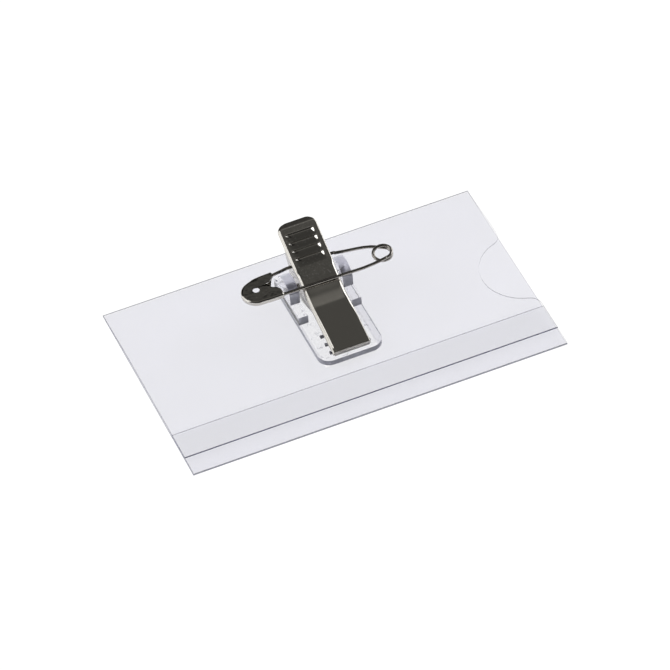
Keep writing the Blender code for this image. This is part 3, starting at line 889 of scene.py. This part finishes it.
def build_spring(look):
    """Coil and lower leg stay with the base; the upper leg goes with the lever."""
    left = CLIP_X - SPRING_TURNS * SPRING_PITCH / 2
    start = -math.pi / 2
    end = start - 2 * math.pi * SPRING_TURNS + math.radians(SPRING_LEG_ANGLE) + math.pi
    steps = 24 * SPRING_TURNS
    coil = [Vector((left, SPRING_FOOT, PLATE_TOP + 0.4)), Vector((left, 14.0, PLATE_TOP + 0.85))]
    for i in range(steps + 1):
        turn = start + (end - start) * i / steps
        x = left + SPRING_TURNS * SPRING_PITCH * i / steps
        across = SPRING_RADIUS * math.cos(turn)
        coil.append(Vector((x, AXLE.y + across, AXLE.z + SPRING_RADIUS * math.sin(turn))))
    lower = wire("spring_coil", coil, lambda share: SPRING_WIRE / 2, look, sides=12)
    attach(lower, "badge")
    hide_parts("clip_spring")
    root = coil[-1]
    angle = math.radians(SPRING_LEG_ANGLE)
    along = Vector((0.0, math.cos(angle), math.sin(angle)))
    leg = [root + along * d for d in steps_between(0.15, 5.2, 10)]
    upper = wire("spring_upper_leg", leg, lambda share: SPRING_WIRE / 2, look, sides=12)
    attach(upper, "lever")


# -------------------------------------------------------------------- pin


def build_pin_wire(look):
    """Rear arm and coil; the coil's last point runs on into the needle's root."""
    x, y = NEEDLE_ROOT.x, NEEDLE_ROOT.y + COIL_DEPTH
    coil = []
    for i in range(COIL_STEPS + 1):
        turn = math.radians(90 - 360 * COIL_TURNS * i / COIL_STEPS)
        rise = COIL_PITCH * COIL_TURNS * i / COIL_STEPS
        forward = COIL_DEPTH * (1 - math.sin(turn))
        height = PIN_AXIS.z + rise - COIL_TILT * forward
        coil.append(Vector((x + COIL_RADIUS * math.cos(turn), y + COIL_DEPTH - forward, height)))
    shift = NEEDLE_ROOT.z - coil[-1].z
    for i, point in enumerate(coil):
        point.z += shift * i / COIL_STEPS
    arm = smooth_path([*ARM_LEFT, *ARM_RIGHT, *ARM_BOW, coil[4]], 6)[:-1]
    end = coil[-1] + Vector((-WIRE / 2, 0.0, 0.0))
    arm_and_coil = wire("pin_arm_and_coil", arm + coil[4:] + [end], lambda share: WIRE / 2, look)
    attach(arm_and_coil, "pin")
    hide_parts("pin_wire")


def build_needle(look):
    tip = Vector(NEEDLE_TIP)
    bow_end = Vector(NEEDLE_BOW[-1])
    along = (tip - bow_end).normalized()
    start = NEEDLE_ROOT + Vector((WIRE / 2, 0.0, 0.0))
    points = [start, *(Vector(p) for p in NEEDLE_BOW), tip - along * NEEDLE_TAPER, tip]
    path = smooth_path(points, 10)
    length = sum((b - a).length for a, b in itertools.pairwise(path))

    def radius_at(share):
        left = (1 - share) * length / NEEDLE_TAPER
        return WIRE / 2 * min(1.0, 0.06 + 0.94 * min(left, 1.0) ** 0.8)

    needle = wire("pin_needle_wire", path, radius_at, look)
    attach(needle, "needle")
    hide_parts("pin_needle")


def cap_outline(inset):
    """Plan of the cap: straight sides from the mouth and a round head."""
    x, y, radius = CAP_HEAD
    front = CAP_NEEDLE[0] - (CAP_NEEDLE[1] - CAP_FLOOR) + inset
    rear = CAP_ARM[0] + (CAP_ARM[1] - CAP_FLOOR) - inset
    right = CAP_MOUTH + (2.0 if inset else 0.0)
    points = [(right, rear), (x + 1.75, rear - 0.2), (x + 0.2, rear - 0.5)]
    points += arc((x, y), radius - inset, 112, 256, 9)
    points += [(x + 0.6, front + 0.12), (x + 2.4, front)]
    curve = smooth_path([(u, v, 0.0) for u, v in points], 4)
    return [(p.x, p.y) for p in curve] + [(right, front)]


def build_cap(look):
    cap = finish("pin_cap_pressing", prism(cap_outline(0.0), "Z", CAP_FLOOR, CAP_TOP), [look])
    bevel(cap, CAP_ROUND, segments=6, angle=60.0)
    inner = prism(cap_outline(CAP_SHEET), "Z", CAP_FLOOR + CAP_SHEET, CAP_TOP - CAP_SHEET)
    hollow = finish("hollow", inner, [])
    bevel(hollow, CAP_ROUND - 0.1, segments=4, angle=60.0)
    inner = bmesh.new()
    inner.from_mesh(hollow.data)
    inner.transform(Matrix.Scale(1 / MM, 4))
    bpy.data.objects.remove(hollow)
    boolean(cap, inner, "DIFFERENCE")
    step, bottom, top = CAP_FLOOR + 0.7, CAP_FLOOR - 1.0, CAP_TOP + 1.0
    x, y, radius = CAP_HOLE
    upper_hole = arc((x, y), radius, 0, 345, 23)
    lower_hole = arc((x + 0.45, y + 1.1), radius * 1.25, 0, 345, 23)
    for outline, low, high in (
        (CAP_GAP, step, top),
        (CAP_FLOOR_CUT, bottom, step),
        (upper_hole, step, top),
        (lower_hole, bottom, step),
    ):
        boolean(cap, prism(outline, "Z", low, high), "DIFFERENCE")
    even_shading(cap)
    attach(cap, "pin")
    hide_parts("pin_cap")


# ------------------------------------------------------------------ stage


def softbox(name, place, size, radiance, aim=(0.0, 0.0, 8.0)):
    """A rectangular area lamp of a given brightness, turned towards the object."""
    lamp = bpy.data.lights.new(name, "AREA")
    lamp.shape = "RECTANGLE"
    lamp.size = size[0] * MM
    lamp.size_y = size[1] * MM
    lamp.energy = radiance * math.pi * lamp.size * lamp.size_y
    made = bpy.data.objects.new(name, lamp)
    bpy.context.collection.objects.link(made)
    made.location = Vector(place) * MM
    made.rotation_mode = "QUATERNION"
    made.rotation_quaternion = (Vector(aim) - Vector(place)).to_track_quat("-Z", "Y")


def build_room():
    """A dim studio: greys along Y for what the object reflects, and a pale backdrop."""
    world = bpy.data.worlds.new("studio")
    bpy.context.scene.world = world
    world.use_nodes = True
    tree = world.node_tree
    place = tree.nodes.new("ShaderNodeTexCoord")
    split = tree.nodes.new("ShaderNodeSeparateXYZ")
    tree.links.new(place.outputs["Generated"], split.inputs["Vector"])
    along = tree.nodes.new("ShaderNodeMapRange")
    along.inputs["From Min"].default_value = -1.0
    tree.links.new(split.outputs["Y"], along.inputs["Value"])
    ramp = tree.nodes.new("ShaderNodeValToRGB")
    tree.links.new(along.outputs["Result"], ramp.inputs["Fac"])
    elements = ramp.color_ramp.elements
    while len(elements) < len(ROOM_GREYS):
        elements.new(0.5)
    for element, (y, grey) in zip(elements, ROOM_GREYS):
        element.position = (y + 1) / 2
        element.color = (grey, grey * 0.98, grey * 0.93, 1.0)
    room = tree.nodes["Background"]
    tree.links.new(ramp.outputs["Color"], room.inputs["Color"])
    backdrop = tree.nodes.new("ShaderNodeBackground")
    backdrop.inputs["Color"].default_value = (0.93, 0.93, 0.94, 1.0)
    seen = tree.nodes.new("ShaderNodeLightPath")
    mix = tree.nodes.new("ShaderNodeMixShader")
    tree.links.new(seen.outputs["Is Camera Ray"], mix.inputs[0])
    tree.links.new(room.outputs[0], mix.inputs[1])
    tree.links.new(backdrop.outputs[0], mix.inputs[2])
    tree.links.new(mix.outputs[0], tree.nodes["World Output"].inputs["Surface"])


def build_stage():
    """A pale light table, with a low softbox at each side and a small high one."""
    data = bmesh.new()
    corners = ((-1, -1), (1, -1), (1, 1), (-1, 1))
    places = [(x * TABLE_HALF, y * TABLE_HALF, TABLE_TOP) for x, y in corners]
    data.faces.new([data.verts.new(p) for p in places])
    floor = finish("light_table", data, [table_look()], smooth_angle=None)
    softbox("right_softbox", (440.0, 120.0, 210.0), (360.0, 330.0), 2.6)
    softbox("left_softbox", (-450.0, 120.0, 210.0), (520.0, 420.0), 1.15)
    softbox("left_spot", (-280.0, 50.0, 405.0), (240.0, 80.0), 1.6)


def build_camera():
    az, el = AZIMUTH, ELEVATION
    back = Vector((math.sin(az) * math.cos(el), -math.cos(az) * math.cos(el), math.sin(el)))
    right = Vector((math.cos(az), math.sin(az), 0.0))
    up = back.cross(right)
    place = back * CAMERA_DISTANCE + right * CAMERA_OFFSET[0] + up * CAMERA_OFFSET[1]
    rolled_right = right * math.cos(ROLL) + up * math.sin(ROLL)
    rolled_up = up * math.cos(ROLL) - right * math.sin(ROLL)
    lens = bpy.data.cameras.new("photo_camera")
    lens.sensor_width = SENSOR
    lens.lens = LENS
    lens.clip_start, lens.clip_end = 0.01, 10.0
    camera = bpy.data.objects.new("photo_camera", lens)
    bpy.context.collection.objects.link(camera)
    axes = Matrix((rolled_right, rolled_up, back)).transposed()
    camera.matrix_world = Matrix.Translation(place * MM) @ axes.to_4x4()
    bpy.context.scene.camera = camera


def main():
    bpy.context.scene.view_settings.view_transform = "Standard"
    build_camera()
    build_room()
    build_stage()
    steel = steel_look()
    base_looks = [
        moulding_look(),
        # Less clear, tinted copies of the moulding: painted shade on sides and ridges, painted
        # light on ear tops.
        moulding_painted_look("clear_moulding_painted_shade_sides", 0.4, (0.66, 0.67, 0.77)),
        moulding_painted_look("clear_moulding_painted_shade_ridges", 0.2, (0.17, 0.17, 0.21)),
        moulding_painted_look("clear_moulding_painted_light_ears", 0.8, (0.80, 0.80, 0.94)),
    ]
    # Each panel and overlap of the one sheet gets its own clearness and tint: painted shade, set
    # for the tone of each zone.
    sleeve_looks = {
        "back": vinyl_look("clear_vinyl_back", 0.006, (0.40, 0.40, 0.62)),
        "seam": vinyl_look("clear_vinyl_seam", 0.013, (0.28, 0.34, 1.0)),
        "front": vinyl_look("clear_vinyl_front", 0.136, (0.40, 0.40, 0.76)),
        "flap": vinyl_look("clear_vinyl_flap", 0.025, (0.40, 0.40, 0.80)),
        "fold": vinyl_edge_look("clear_vinyl_fold", 0.75, (0.16, 0.17, 0.26)),
        "edge": vinyl_edge_look("clear_vinyl_edge", 0.85, (0.15, 0.16, 0.30)),
        "cut": vinyl_edge_look("clear_vinyl_cut", 0.5, (0.14, 0.145, 0.20)),
    }
    build_sleeve(sleeve_looks)
    build_base(base_looks)
    build_lever(nickel_look("nickel_plate", 260.0, 0.02))
    build_spring(steel)
    build_pin_wire(steel)
    build_needle(steel)
    build_cap(nickel_look("nickel_plate_cap", 450.0, 0.25))
    for node, look in (("adhesive_pad", adhesive_look()), ("axle_pin", steel)):
        frame["nodes"][node].data.materials.clear()
        frame["nodes"][node].data.materials.append(look)


main()
